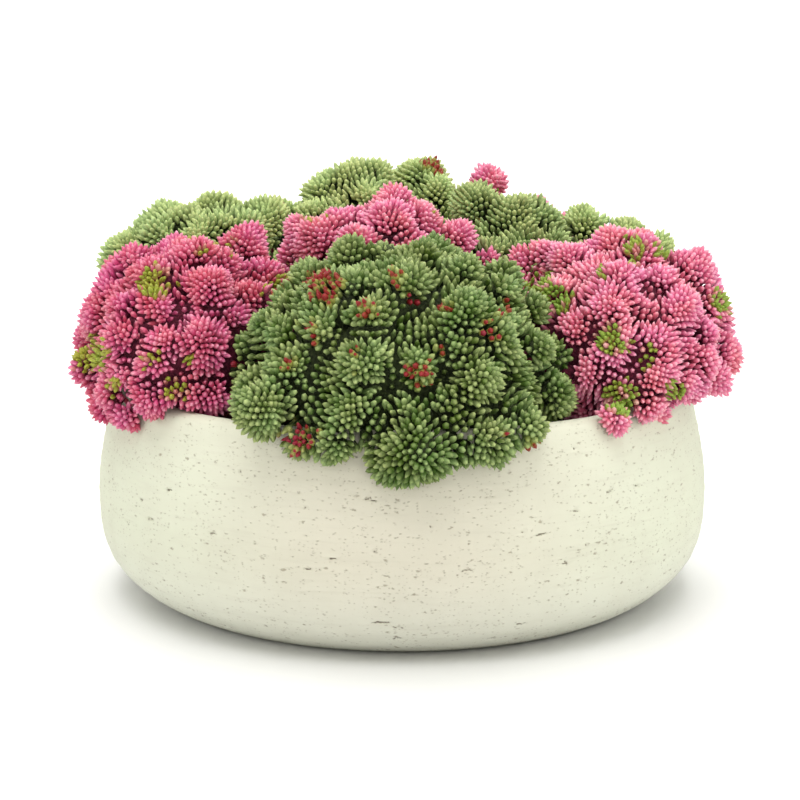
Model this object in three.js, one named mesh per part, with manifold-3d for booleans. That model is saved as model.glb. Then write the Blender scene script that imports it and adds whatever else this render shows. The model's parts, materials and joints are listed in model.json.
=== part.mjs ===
// A potted sedum: a round cement bowl of soil, with a low mound of pink and green flower heads.
// Millimetres, +Z up. The origin is on the table under the middle of the bowl, and the front faces -Y.
import * as THREE from 'three';
import { ConvexHull } from 'three/addons/math/ConvexHull.js';
import { mergeVertices } from 'three/addons/utils/BufferGeometryUtils.js';
import Module from 'manifold-3d';

const wasm = await Module();
wasm.setup();

// The bowl's driving sizes, as radii and heights.
const potHeight = 102;
const potBase = 124;
const potBelly = 150;
const potBellyHeight = 52;
const potRim = 140;
const potWall = 9;
const potFloor = 12;
const floorEdge = 116; // the radius of the bowl's inside floor
const lip = 3; // how far the rim's edges are rounded off
const lowerCurve = 3.6; // how sharply the wall turns in below the belly
const upperCurve = 1.5; // and above it
const potSides = 44;

// The soil fills the bowl to below the rim, and rises a little to the middle.
const soilEdge = 84;
const soilShoulder = [70, 87]; // radius and height
const soilMiddle = 89;

const clearance = 0.3; // between neighbours that touch on the real thing

// Stems, and the holes that they stand in.
const stemFoot = 3.4;
const stemTop = 2.6;
const stemDepth = 34;
const stemSides = 8;
const stemLean = 0.55; // how far out a stem's foot is, as a share of its head's place

// Flower heads. Each is a dome of round clusters, and each cluster is covered with buds.
const budPitch = 8.6; // the least from bud to bud, larger than life
const budDepth = 4.6; // from a bud's tip down to the notches round it, at most
const notchShare = 0.7; // the same as a share of how far off the tips are
const plainPitch = 26; // from point to point where a head is hidden
const tryPitch = 3; // between the places that are tried for a tip
const coreShare = 0.93; // the core, as a share of the dome that the clusters' middles lie on
const clusterSize = 13; // of the clusters that the eye doesn't see, and how far apart they are
const clusterPitch = 25;
const clusterShift = 3; // how far each may be off its even place
const clusterRoom = 6; // what is kept free between their middles and a listed cluster's edge
const lowestInside = 97; // no hidden cluster's middle is lower than this in the bowl
const lowestOutside = 92; // or than this outside its rim
const edgeReach = 12; // what the clusters add to a dome where two heads meet

const pink = { color: 0xc8527f, roughness: 0.6, metalness: 0 };
const green = { color: 0x6f9a4a, roughness: 0.62, metalness: 0 };
const stemGreen = { color: 0x5c7440, roughness: 0.7, metalness: 0 };
const cement = { color: 0xe9e7df, roughness: 0.85, metalness: 0 };
const earth = { color: 0x3a2c22, roughness: 0.95, metalness: 0 };

// The front of the mound is laid out as it is seen from this eye. A cluster's row gives how far
// across and up it stands, and its radius, all on the upright plane through the aim.
const eye = new THREE.Vector3(0, -850, 257);
const aim = new THREE.Vector3(0, 0, 88);
const nearSide = 0.75; // where a line of sight is first looked at, as a share of its way to the plane
const sightStep = 0.001;
const bowlHug = 0.5; // how far a cluster stands off the bowl that it hangs over, as a share of its size

// heart is the middle of a head's dome, and reach its half sizes, out to the clusters' middles.
const heads = [
  {
    name: 'head_front', finish: green, heart: [0, -84, 112], reach: [70, 60, 58],
    seen: [
      [-16, 78, 17], [10, 74, 12], [30, 66, 13], [46, 68, 13],
      [-40, 60, 13], [-25, 58, 11], [-9, 58, 10], [5, 60, 14], [50, 55, 12], [66, 44, 12],
      [-46, 48, 9], [-62, 36, 13], [-40, 36, 12], [-16, 44, 14], [30, 44, 17], [46, 30, 15],
      [-76, 25, 12], [-56, 16, 15], [-20, 18, 16], [8, 18, 12], [30, 26, 10], [68, 26, 12],
      [-67, -5, 18], [-25, -6, 15], [22, -4, 10], [34, 6, 15], [75, 4, 14],
      [-52, -18, 10], [-34, -25, 12], [7, -26, 21], [42, -22, 15], [58, -14, 12],
    ],
  },
  {
    name: 'head_left', finish: pink, heart: [-98, -38, 118], reach: [49, 58, 50],
    seen: [
      [-78, 84, 16], [-108, 78, 14], [-128, 71, 12], [-140, 64, 11], [-83, 72, 10],
      [-66, 66, 15], [-124, 60, 12], [-98, 55, 17], [-152, 50, 11], [-140, 48, 13],
      [-119, 49, 9], [-73, 49, 14], [-154, 41, 10], [-140, 30, 14], [-118, 32, 11],
      [-98, 26, 16], [-157, 22, 10], [-124, 18, 11], [-140, 14, 10], [-160, 8, 7],
      [-146, 4, 10], [-126, 0, 11], [-114, 3, 10], [-94, 0, 12], [-104, -6, 12], [-137, -8, 12],
    ],
  },
  {
    name: 'head_right', finish: pink, heart: [99, -38, 118], reach: [49, 58, 50],
    seen: [
      [104, 79, 15], [116, 74, 12], [60, 73, 9], [70, 78, 11], [82, 70, 12], [136, 66, 12],
      [147, 62, 11], [130, 62, 9], [109, 60, 12], [76, 54, 12], [102, 46, 14], [154, 49, 12],
      [138, 46, 13], [86, 38, 12], [106, 32, 12], [154, 35, 10], [126, 30, 12], [154, 23, 11],
      [90, 16, 13], [126, 12, 14], [139, 10, 9], [156, 10, 11], [108, 4, 13],
      [124, -3, 12], [103, -10, 11],
    ],
  },
  {
    name: 'head_middle', finish: pink, heart: [-8, 8, 136], reach: [47, 42, 44],
    seen: [
      [-54, 87, 10], [-40, 81, 16], [-32, 92, 12], [0, 100, 10], [-6, 90, 15],
      [8, 88, 12], [29, 83, 14],
    ],
  },
  {
    name: 'head_back_left', finish: green, heart: [-100, 50, 118], reach: [50, 46, 48],
    seen: [
      [-136, 75, 12], [-124, 82, 11], [-116, 91, 10], [-98, 94, 11], [-87, 90, 10],
      [-109, 86, 10], [-142, 66, 10], [-66, 89, 14],
    ],
  },
  {
    name: 'head_back_middle', finish: green, heart: [-30, 74, 142], reach: [38, 38, 46],
    seen: [[-26, 106, 15], [-38, 104, 11], [-12, 108, 10]],
  },
  {
    name: 'head_back_tall', finish: green, heart: [10, 98, 136], reach: [30, 40, 54],
    seen: [[8, 111, 13], [18, 104, 11]],
  },
  {
    name: 'head_back_right', finish: green, heart: [56, 44, 128], reach: [38, 38, 44],
    seen: [[34, 97, 12], [55, 87, 16], [70, 89, 11]],
  },
  {
    name: 'head_far_right', finish: green, heart: [104, 48, 116], reach: [44, 46, 46],
    seen: [[90, 87, 13], [114, 79, 10], [126, 75, 10]],
  },
  {
    name: 'head_rear_right', finish: pink, heart: [66, 98, 126], reach: [36, 36, 50],
    seen: [[44, 107, 10]],
  },
  {
    name: 'head_rear_left', finish: pink, heart: [-58, 104, 118], reach: [42, 36, 44],
    seen: [],
  },
];

const firstSeed = 11;

// The same list of random numbers on every run, all between 0 and 1.
function makeRandom(seed) {
  let state = seed;
  return () => {
    state = (state * 16807) % 2147483647;
    return state / 2147483647;
  };
}

const goldenAngle = Math.PI * (3 - Math.sqrt(5));

// Directions spread evenly all round, a pitch apart on a ball of the given radius.
function spreadDirections(radius, pitch, turn) {
  const patch = (Math.sqrt(3) / 2) * pitch ** 2;
  const count = Math.round((4 * Math.PI * radius ** 2) / patch);
  return Array.from({ length: count }, (_, i) => {
    const z = 1 - (2 * i + 1) / count;
    const ring = Math.sqrt(1 - z * z);
    const angle = i * goldenAngle + turn;
    return new THREE.Vector3(ring * Math.cos(angle), ring * Math.sin(angle), z);
  });
}

// A closed mesh as a solid that can be joined and cut.
function toSolid(geometry) {
  const bare = geometry.index ? geometry.clone() : geometry;
  bare.deleteAttribute('normal');
  bare.deleteAttribute('uv');
  const merged = mergeVertices(bare, 1e-4);
  return new wasm.Manifold(new wasm.Mesh({
    numProp: 3,
    vertProperties: Float32Array.from(merged.attributes.position.array),
    triVerts: Uint32Array.from(merged.index.array),
  }));
}

function toGeometry(solid) {
  const { vertProperties, triVerts } = solid.getMesh();
  const geometry = new THREE.BufferGeometry();
  geometry.setAttribute('position', new THREE.BufferAttribute(vertProperties, 3));
  geometry.setIndex(new THREE.BufferAttribute(triVerts, 1));
  return geometry;
}

// Turns an outline of [radius, height] points round the bowl's upright axis.
function turned(outline) {
  const points = outline.map(([r, z]) => new THREE.Vector2(r, z));
  return toSolid(new THREE.LatheGeometry(points, potSides).rotateX(Math.PI / 2));
}

// The bowl

function potRadius(height) {
  if (height < potBellyHeight) {
    return potBelly - (potBelly - potBase) * (1 - height / potBellyHeight) ** lowerCurve;
  }
  const share = (height - potBellyHeight) / (potHeight - potBellyHeight);
  return potBelly - (potBelly - potRim) * share ** upperCurve;
}

const outerHeights = [0, 3, 8, 15, 24, 36, 52, 70, 86];
const innerHeights = [84, 62, 42, 26, 17];

function potOutline(grow = 0) {
  return [
    ...outerHeights.map((z) => [potRadius(z) + grow, z]),
    [potRadius(potHeight - lip) + grow, potHeight - lip],
    [potRim - 0.3 * lip + grow, potHeight - 0.3 * lip],
    [potRim - lip, potHeight + grow],
  ];
}

function insideOutline(gap = 0) {
  return innerHeights.map((z) => [potRadius(z) - potWall - gap, z]);
}

function makePot() {
  return turned([
    [0, 0],
    ...potOutline(),
    [potRim - potWall + lip, potHeight],
    [potRim - potWall, potHeight - lip],
    ...insideOutline(),
    [floorEdge, potFloor],
    [0, potFloor],
  ]);
}

function soilSurface(grow = 0) {
  return [
    [potRadius(soilEdge) - potWall - clearance, soilEdge + grow],
    [soilShoulder[0], soilShoulder[1] + grow],
    [0, soilMiddle + grow],
  ];
}

// What the heads stay clear of: the bowl's outside and rim, and the soil.
function makeKeepOut() {
  return turned([
    [0, -1],
    [potBase, -1],
    ...potOutline(clearance),
    [potRim - potWall, potHeight + clearance],
    [potRim - potWall - clearance, potHeight],
    [potRim - potWall - clearance, potHeight - lip],
    ...soilSurface(clearance),
  ]);
}

// The soil, with a plain hole for each stem

function makeSoil(holes) {
  const edge = insideOutline(clearance).filter(([, z]) => z < soilEdge).reverse();
  const block = turned([
    [0, potFloor + clearance],
    [floorEdge - 2 * clearance, potFloor + clearance],
    ...edge,
    ...soilSurface(),
  ]);
  return holes.reduce((soil, hole) => soil.subtract(hole), block);
}

// Stems

function makeStem(head, grow = 0) {
  const top = new THREE.Vector3(...head.heart);
  const foot = new THREE.Vector3(top.x * stemLean, top.y * stemLean, soilMiddle - stemDepth);
  const axis = top.clone().sub(foot);
  const length = axis.length() + 2 * grow;
  const geometry = new THREE.CylinderGeometry(stemTop + grow, stemFoot + grow, length, stemSides);
  const upright = new THREE.Vector3(0, 1, 0);
  geometry.applyQuaternion(new THREE.Quaternion().setFromUnitVectors(upright, axis.normalize()));
  const middle = top.add(foot).multiplyScalar(0.5);
  return toSolid(geometry.translate(middle.x, middle.y, middle.z));
}

// Flower heads

// Follows the line of sight through a row's place until it meets the head's dome or the bowl's
// outside, or passes nearest to the dome.
function placeSeen([across, up, size], heart, reach) {
  const forward = aim.clone().sub(eye).normalize();
  const upward = new THREE.Vector3(0, -forward.z, forward.y);
  const sight = aim.clone().addScaledVector(upward, up).sub(eye);
  sight.x += across;
  const from = eye.clone().sub(heart).divide(reach);
  const along = sight.clone().divide(reach);
  const nearest = -from.dot(along) / along.lengthSq();
  for (let share = nearSide; share < nearest; share += sightStep) {
    const place = eye.clone().addScaledVector(sight, share);
    const out = Math.hypot(place.x, place.y) - potRadius(Math.min(place.z, potHeight));
    const onBowl = place.z < potHeight + bowlHug * size && out < bowlHug * size;
    if (onBowl || place.clone().sub(heart).divide(reach).length() < 1) {
      return { middle: place.sub(heart), size: size * share };
    }
  }
  return { middle: eye.clone().addScaledVector(sight, nearest).sub(heart), size: size * nearest };
}

function domeRadius(direction, reach) {
  return 1 / direction.clone().divide(reach).length();
}

// The planes that part a head from its neighbours, each as a direction and a distance.
function partingPlanes(head) {
  const heart = new THREE.Vector3(...head.heart);
  const reach = new THREE.Vector3(...head.reach);
  return heads.filter((other) => other !== head).flatMap((other) => {
    const direction = new THREE.Vector3(...other.heart).sub(heart);
    const apart = direction.length();
    direction.normalize();
    const mine = domeRadius(direction, reach) + edgeReach;
    const theirs = domeRadius(direction, new THREE.Vector3(...other.reach)) + edgeReach;
    const distance = (apart * mine) / (mine + theirs) - clearance / 2;
    return mine + theirs > apart ? [{ direction, distance }] : [];
  });
}

// Clusters that the eye doesn't see: spread over the rest of the dome, each a little off its place.
function hiddenClusters(heart, reach, seen, planes, random) {
  const size = (reach.x + reach.y + reach.z) / 3;
  return spreadDirections(size, clusterPitch, 2 * Math.PI * random()).flatMap((direction) => {
    const middle = direction.multiply(reach);
    middle.x += clusterShift * (2 * random() - 1);
    middle.y += clusterShift * (2 * random() - 1);
    middle.z += clusterShift * (2 * random() - 1);
    const cluster = { middle, size: clusterSize * (0.85 + 0.3 * random()) };
    const place = middle.clone().add(heart);
    const out = Math.hypot(place.x, place.y) > potRim;
    const low = place.z < (out ? lowestOutside : lowestInside);
    const parted = planes.some((plane) => middle.dot(plane.direction) > plane.distance);
    const taken = seen.some((other) => other.middle.distanceTo(middle) < other.size + clusterRoom);
    return low || parted || taken ? [] : [cluster];
  });
}

// How far out the head's clusters or core reach in one direction from its heart.
function headRadius(direction, shape) {
  return shape.clusters.reduce((furthest, { middle, size }) => {
    const along = direction.dot(middle);
    const inside = along ** 2 - middle.lengthSq() + size ** 2;
    return inside < 0 ? furthest : Math.max(furthest, along + Math.sqrt(inside));
  }, domeRadius(direction, shape.coreReach));
}

function planeRadius(direction, shape) {
  return shape.planes.reduce((least, plane) => {
    const facing = direction.dot(plane.direction);
    return facing > 0 ? Math.min(least, plane.distance / facing) : least;
  }, Infinity);
}

// A place where a bud's tip may be, or a plain point where the head is hidden or only core.
function possibleTip(direction, shape) {
  const whole = headRadius(direction, shape);
  const radius = Math.min(whole, planeRadius(direction, shape));
  const point = direction.clone().multiplyScalar(radius);
  const place = point.clone().add(shape.heart);
  const inBowl = Math.hypot(place.x, place.y) < potRim - potWall && place.z < potHeight - lip;
  const bud = radius === whole && whole > domeRadius(direction, shape.coreReach) && !inBowl;
  return { direction, point, bud, spacing: bud ? budPitch : plainPitch, room: Infinity };
}

// Each tip in turn goes where there is most room left, until none has a whole space to itself.
function placeTips(shape) {
  const places = spreadDirections(shape.size, tryPitch, 0);
  const free = places.map((direction) => possibleTip(direction, shape));
  const tips = [];
  for (;;) {
    const next = free.reduce((a, b) => (b.room / b.spacing > a.room / a.spacing ? b : a));
    if (next.room < next.spacing) return tips;
    tips.push(next);
    free.forEach((place) => {
      place.room = Math.min(place.room, place.point.distanceTo(next.point));
    });
  }
}

// Raises each bud as a pointed tip, with a notch between every three that stand together.
function buddedSurface(shape) {
  const tips = placeTips(shape);
  const hull = new ConvexHull().setFromPoints(tips.map((tip) => tip.direction));
  const numberOf = new Map(tips.map((tip, i) => [tip.direction, i]));
  const points = tips.map((tip) => tip.point);
  const leftOf = new Map();
  hull.faces.forEach(({ edge }) => {
    const corners = [edge, edge.next, edge.next.next].map((side) => numberOf.get(side.head().point));
    const three = corners.map((i) => tips[i]);
    const middle = new THREE.Vector3();
    three.forEach((tip) => middle.add(tip.direction));
    middle.normalize();
    const radius = Math.min(headRadius(middle, shape), planeRadius(middle, shape));
    const notch = middle.clone().multiplyScalar(radius);
    const apart = three.reduce((sum, tip) => sum + tip.point.distanceTo(notch), 0) / 3;
    const depth = three.every((tip) => tip.bud) ? Math.min(budDepth, notchShare * apart) : 0;
    corners.forEach((i, n) => leftOf.set(`${i} ${corners[(n + 1) % 3]}`, points.length));
    points.push(notch.addScaledVector(middle, -depth));
  });
  const faces = [...leftOf].flatMap(([edge, left]) => {
    const [from, to] = edge.split(' ').map(Number);
    return [from, leftOf.get(`${to} ${from}`), left];
  });
  const geometry = new THREE.BufferGeometry().setFromPoints(points);
  geometry.setIndex(faces);
  return geometry;
}

function largestPiece(solid) {
  return solid.decompose().sort((a, b) => b.volume() - a.volume())[0];
}

function makeHead(head, seed, keepOut, stemSpace) {
  const random = makeRandom(seed);
  const heart = new THREE.Vector3(...head.heart);
  const reach = new THREE.Vector3(...head.reach);
  const planes = partingPlanes(head);
  const seen = head.seen.map((row) => placeSeen(row, heart, reach));
  const shape = {
    heart,
    planes,
    size: (reach.x + reach.y + reach.z) / 3,
    clusters: [...seen, ...hiddenClusters(heart, reach, seen, planes, random)],
    coreReach: reach.clone().multiplyScalar(coreShare),
  };
  const geometry = buddedSurface(shape).translate(heart.x, heart.y, heart.z);
  return largestPiece(toSolid(geometry).subtract(keepOut).subtract(stemSpace));
}

// Putting it together

const sedum = new THREE.Group();

function add(name, solid, finish) {
  const mesh = new THREE.Mesh(toGeometry(solid), new THREE.MeshStandardMaterial(finish));
  mesh.name = name;
  sedum.add(mesh);
}

const keepOut = makeKeepOut();
const stemSpaces = heads.map((head) => makeStem(head, clearance));
add('pot', makePot(), cement);
add('soil', makeSoil(stemSpaces), earth);
heads.forEach((head, i) => {
  add(head.name, makeHead(head, firstSeed + i, keepOut, stemSpaces[i]), head.finish);
  add(head.name.replace('head', 'stem'), makeStem(head), stemGreen);
});

export default sedum;
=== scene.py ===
import json
import math

import bmesh
import bpy
import numpy as np
from mathutils import Matrix, Vector

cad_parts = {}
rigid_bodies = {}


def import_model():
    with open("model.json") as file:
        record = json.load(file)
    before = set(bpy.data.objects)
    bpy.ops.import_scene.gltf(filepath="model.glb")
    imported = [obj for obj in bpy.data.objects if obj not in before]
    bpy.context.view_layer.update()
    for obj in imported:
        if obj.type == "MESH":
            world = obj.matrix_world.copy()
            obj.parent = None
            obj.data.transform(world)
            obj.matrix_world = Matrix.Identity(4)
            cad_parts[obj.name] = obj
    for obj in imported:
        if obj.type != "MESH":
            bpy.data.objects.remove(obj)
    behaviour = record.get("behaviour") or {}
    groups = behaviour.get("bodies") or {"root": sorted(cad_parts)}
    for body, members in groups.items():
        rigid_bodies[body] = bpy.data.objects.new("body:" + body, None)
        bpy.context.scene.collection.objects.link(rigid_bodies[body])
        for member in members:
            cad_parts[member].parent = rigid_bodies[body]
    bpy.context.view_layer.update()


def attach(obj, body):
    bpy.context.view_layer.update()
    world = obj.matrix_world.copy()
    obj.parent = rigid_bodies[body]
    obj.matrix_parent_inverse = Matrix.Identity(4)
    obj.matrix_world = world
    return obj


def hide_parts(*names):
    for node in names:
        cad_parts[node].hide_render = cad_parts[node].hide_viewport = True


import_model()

scene = bpy.context.scene


# Working tools

def pick(*pieces):
    bpy.ops.object.select_all(action="DESELECT")
    for piece in pieces:
        piece.select_set(True)
    bpy.context.view_layer.objects.active = pieces[0]


def pickAll():
    bpy.ops.mesh.select_all(action="SELECT")


def startEditing(piece, kind="FACE"):
    pick(piece)
    bpy.ops.object.mode_set(mode="EDIT")
    bpy.ops.mesh.select_mode(type=kind)


def stopEditing():
    bpy.ops.object.mode_set(mode="OBJECT")


def pickFaces(piece, wanted):
    mesh = bmesh.from_edit_mesh(piece.data)
    for face in mesh.faces:
        face.select_set(False)
    for face in mesh.faces:
        if wanted(face):
            face.select_set(True)
    bmesh.update_edit_mesh(piece.data)


def pushOut(step, grow=1.0, centre=(0, 0, 0)):
    # Extrudes what is picked, then makes the new end larger or smaller.
    bpy.ops.mesh.extrude_region_move(TRANSFORM_OT_translate={"value": step})
    if grow != 1:
        bpy.ops.transform.resize(value=(grow, grow, 1), center_override=centre)


def raiseRings(rings):
    # Extrudes the picked ring from each (radius, height) to the next.
    for (radius, height), (newRadius, newHeight) in zip(rings, rings[1:]):
        pushOut((0, 0, newHeight - height), newRadius / radius, (0, 0, newHeight))


def finishShell():
    # Turns all faces outward and leaves editing.
    pickAll()
    bpy.ops.mesh.normals_make_consistent(inside=False)
    stopEditing()


def settle(piece, name):
    # Puts a finished piece's place into its mesh.
    pick(piece)
    bpy.ops.object.transform_apply(location=True, rotation=True, scale=True)
    piece.name = name
    piece.data.name = name
    return piece


def join(pieces):
    pick(*pieces)
    left = [piece.data for piece in pieces[1:]]
    bpy.ops.object.join()
    bpy.data.batch_remove(left)
    return bpy.context.object


def turnOutline(outline, sides, name):
    # Lays the outline, as (radius, height) points, vertex by vertex and spins it round the upright axis.
    bpy.ops.mesh.primitive_plane_add(size=0.01, location=(0, 0, 0))
    piece = bpy.context.object
    startEditing(piece, "VERT")
    pickAll()
    bpy.ops.mesh.merge(type="CENTER")
    radius, height = outline[0]
    bpy.ops.transform.translate(value=(radius, 0, height))
    for newRadius, newHeight in outline[1:]:
        pushOut((newRadius - radius, 0, newHeight - height))
        radius, height = newRadius, newHeight
    pickAll()
    bpy.ops.mesh.spin(steps=sides, angle=2 * math.pi, center=(0, 0, 0), axis=(0, 0, 1))
    pickAll()
    bpy.ops.mesh.remove_doubles(threshold=0.00001)
    finishShell()
    return settle(piece, name)


def applyModifier(piece, kind, **settings):
    pick(piece)
    modifier = piece.modifiers.new(kind.lower(), kind)
    for key, value in settings.items():
        setattr(modifier, key, value)
    bpy.ops.object.modifier_apply(modifier=modifier.name)


def setAttribute(mesh, name, values):
    layer = mesh.attributes.get(name) or mesh.attributes.new(name, "FLOAT", "POINT")
    layer.data.foreach_set("value", np.asarray(values, dtype=np.float32))


def setEven(mesh, **values):
    # Attributes that are the same all over a mesh.
    for name, value in values.items():
        setAttribute(mesh, name, np.full(len(mesh.vertices), value))


def readPoints(mesh):
    points = np.empty(len(mesh.vertices) * 3)
    mesh.vertices.foreach_get("co", points)
    return points.reshape(-1, 3)


def setPoints(mesh, points):
    mesh.vertices.foreach_set("co", np.asarray(points, dtype=np.float32).ravel())
    mesh.update()


# Node tools

def newMaterial(name):
    material = bpy.data.materials.new(name)
    material.use_nodes = True
    return material.node_tree, material.node_tree.nodes["Principled BSDF"], material


def addSockets(tree, way, kind, labels):
    for label in labels:
        tree.interface.new_socket(name=label, in_out=way, socket_type="NodeSocket" + kind)


def addNode(tree, kind, **settings):
    node = tree.nodes.new(kind)
    for key, value in settings.items():
        setattr(node, key, value)
    node.location = (200 * (len(tree.nodes) % 8), -220 * (len(tree.nodes) // 8))
    return node


def wire(tree, start, end):
    tree.links.new(start, end)


def fill(tree, socket, value):
    if isinstance(value, bpy.types.NodeSocket):
        tree.links.new(value, socket)
    else:
        socket.default_value = value


def feed(tree, node, **values):
    # Sets or wires a node's inputs, named with _ for each space.
    for key, value in values.items():
        fill(tree, node.inputs[key.replace("_", " ")], value)
    return node


def placeNode(tree, scale=(1, 1, 1)):
    # The piece's own coordinates, squeezed by a scale for each axis.
    source = addNode(tree, "ShaderNodeTexCoord")
    mapping = addNode(tree, "ShaderNodeMapping")
    feed(tree, mapping, Vector=source.outputs["Object"], Scale=scale)
    return mapping.outputs["Vector"]


def noise(tree, place, scale, detail=3.0, roughness=0.5):
    node = addNode(tree, "ShaderNodeTexNoise")
    feed(tree, node, Vector=place, Scale=scale, Detail=detail, Roughness=roughness)
    return node.outputs["Fac"]


def remap(tree, value, low, high, toLow=0.0, toHigh=1.0):
    node = addNode(tree, "ShaderNodeMapRange", interpolation_type="SMOOTHSTEP")
    feed(tree, node, Value=value, From_Min=low, From_Max=high, To_Min=toLow, To_Max=toHigh)
    return node.outputs["Result"]


def maths(tree, operation, first, second=0.0):
    node = addNode(tree, "ShaderNodeMath", operation=operation)
    for socket, value in zip(node.inputs, (first, second)):
        fill(tree, socket, value)
    return node.outputs["Value"]


def times(tree, first, second):
    return maths(tree, "MULTIPLY", first, second)


def bump(tree, strength, distance, height):
    node = addNode(tree, "ShaderNodeBump")
    return feed(tree, node, Strength=strength, Distance=distance, Height=height).outputs["Normal"]


def blendColour(tree, share, first, second):
    node = addNode(tree, "ShaderNodeMix", data_type="RGBA")
    for number, value in ((0, share), (6, first), (7, second)):
        fill(tree, node.inputs[number], value)
    return node.outputs[2]


def colour(red, green, blue):
    # A screen colour from 0 to 255, as the linear one that shaders take.
    screen = [value / 255 for value in (red, green, blue)]
    linear = [v / 12.92 if v < 0.04045 else ((v + 0.055) / 1.055) ** 2.4 for v in screen]
    return (*linear, 1.0)


# Camera, floor and soft studio light

view = {"place": (-0.001, -0.850, 0.257), "down": 11.23, "lens": 78.2}

bpy.ops.object.camera_add(location=view["place"], rotation=(math.radians(90 - view["down"]), 0, 0))
scene.camera = bpy.context.object
scene.camera.name = "camera"
scene.camera.data.lens = view["lens"]
scene.view_settings.view_transform = "Standard"

studio = {
    "sky": 0.95,
    "aim": (0, 0, 0.1),
    "lamps": {  # place, width and watts
        "topLamp": ((-0.1, -0.45, 2.0), 1.5, 24),
        "frontLamp": ((0.3, -2.4, 0.9), 1.8, 11),
        "leftLamp": ((-2.0, -0.7, 0.9), 1.4, 8),
        "rightLamp": ((2.0, -0.6, 1.1), 1.4, 13),
        "backLamp": ((0.2, 2.0, 1.3), 1.4, 5),
    },
    "wallLamp": ((0, 1.4, 2.2), (0, 3.2, 0.3), 2.0, 50),  # place, aim, width and watts
}

world = bpy.data.worlds.new("studio")
world.use_nodes = True
feed(world.node_tree, world.node_tree.nodes["Background"], Color=(1, 1, 1, 1), Strength=studio["sky"])
scene.world = world


def addLamp(name, place, target, width, watts):
    bpy.ops.object.light_add(type="AREA", location=place)
    lamp = bpy.context.object
    lamp.name = name
    lamp.rotation_euler = (Vector(target) - Vector(place)).to_track_quat("-Z", "Y").to_euler()
    lamp.data.size = width
    lamp.data.energy = watts


for name, (place, width, watts) in studio["lamps"].items():
    addLamp(name, place, studio["aim"], width, watts)
addLamp("wallLamp", *studio["wallLamp"])

floorShape = {"width": 7.0, "height": 3.5, "bend": 1.2, "bendSteps": 16, "shade": colour(252, 252, 251)}


def pickBackEdge(floor):
    mesh = bmesh.from_edit_mesh(floor.data)
    back = 0.4 * floorShape["width"]
    for edge in mesh.edges:
        edge.select_set(all(corner.co.y > back and corner.co.z < 0.1 for corner in edge.verts))
    bmesh.update_edit_mesh(floor.data)


def makeFloor():
    # A floor that bends up into a wall behind the plant.
    bpy.ops.mesh.primitive_plane_add(size=floorShape["width"], location=(0, 0, 0))
    floor = bpy.context.object
    startEditing(floor, "EDGE")
    pickBackEdge(floor)
    pushOut((0, 0, floorShape["height"]))
    pickBackEdge(floor)
    bpy.ops.mesh.bevel(offset=floorShape["bend"], segments=floorShape["bendSteps"])
    stopEditing()
    bpy.ops.object.shade_smooth()
    tree, shader, material = newMaterial("paleFloor")
    feed(tree, shader, Base_Color=floorShape["shade"], Roughness=0.8)
    floor.data.materials.append(material)
    settle(floor, "floor")


makeFloor()
print("camera, lamps and floor are in place")


# The bowl

potShape = {
    "height": 0.102, "base": 0.124, "belly": 0.150, "bellyHeight": 0.052, "rim": 0.140,
    "wall": 0.009, "floor": 0.012, "floorEdge": 0.116,
    "lowerCurve": 3.6, "upperCurve": 1.5,  # how sharply the wall turns in below and above the belly
    "lip": 0.0038, "lipSteps": 6,
    "sides": 240, "step": 0.002,
    "ripple": 0.0001,  # how deep the rings from turning are
    "pitDepth": 0.0009,
    "pits": 230,  # small ones, anywhere
    "marks": [  # larger ones: degrees to the right of the front, height and width in mm
        (-48.8, 53.6, 4), (-44.0, 69.1, 2), (-33.3, 54.4, 2), (-48.3, 13.0, 7), (-42.7, 13.4, 5),
        (-38.8, 12.6, 4), (-36.3, 7.4, 7), (-3.5, 21.0, 8), (-0.5, 17.8, 5), (-5.3, 74.9, 4),
        (10.3, 44.4, 4), (-11.1, 49.5, 3), (-15.3, 44.4, 2), (16.6, 8.7, 4), (-0.8, 11.8, 4),
        (30.3, 65.3, 3), (37.7, 70.9, 3), (44.8, 70.1, 3), (23.2, 56.9, 5), (28.0, 43.0, 3),
        (21.2, 15.9, 5), (-52, 61, 2), (-57, 47, 2), (120, 24.0, 7), (158, 15.0, 8), (205, 31.0, 6),
        (250, 58.0, 4), (295, 19.0, 7),
    ],
}


def potRadius(height):
    shape = potShape
    if height < shape["bellyHeight"]:
        share = (1 - height / shape["bellyHeight"]) ** shape["lowerCurve"]
        return shape["belly"] - (shape["belly"] - shape["base"]) * share
    share = (height - shape["bellyHeight"]) / (shape["height"] - shape["bellyHeight"])
    return shape["belly"] - (shape["belly"] - shape["rim"]) * share ** shape["upperCurve"]


def potOutline():
    shape = potShape
    top, lip, wall = shape["height"], shape["lip"], shape["wall"]
    turns = np.linspace(0, math.pi / 2, shape["lipSteps"] + 1)
    foot = shape["base"]
    base = [(0, 0), (0.04, 0), (0.08, 0), (0.11, 0), (foot - 0.002, 0), (foot - 0.0002, 0.0003)]
    outer = [(potRadius(z) + shape["ripple"] * (math.sin(2300 * z) + math.sin(1270 * z + 1)), z)
             for z in np.arange(shape["step"], top - lip - 0.0006, shape["step"])]
    rounding = [(lip * (1 - math.cos(a)), top - lip + lip * math.sin(a)) for a in turns]
    over = [(potRadius(z) - inward, z) for inward, z in rounding]
    back = [(shape["rim"] - wall + inward, z) for inward, z in rounding[::-1]]
    level = shape["floor"]
    inner = [(potRadius(z) - wall, z) for z in np.arange(top - lip - 0.003, level + 0.004, -0.004)]
    inside = [(shape["floorEdge"], level), (0.06, level), (0, level)]
    return [(float(r), float(z)) for r, z in base + outer + over + back + inner + inside]


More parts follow.
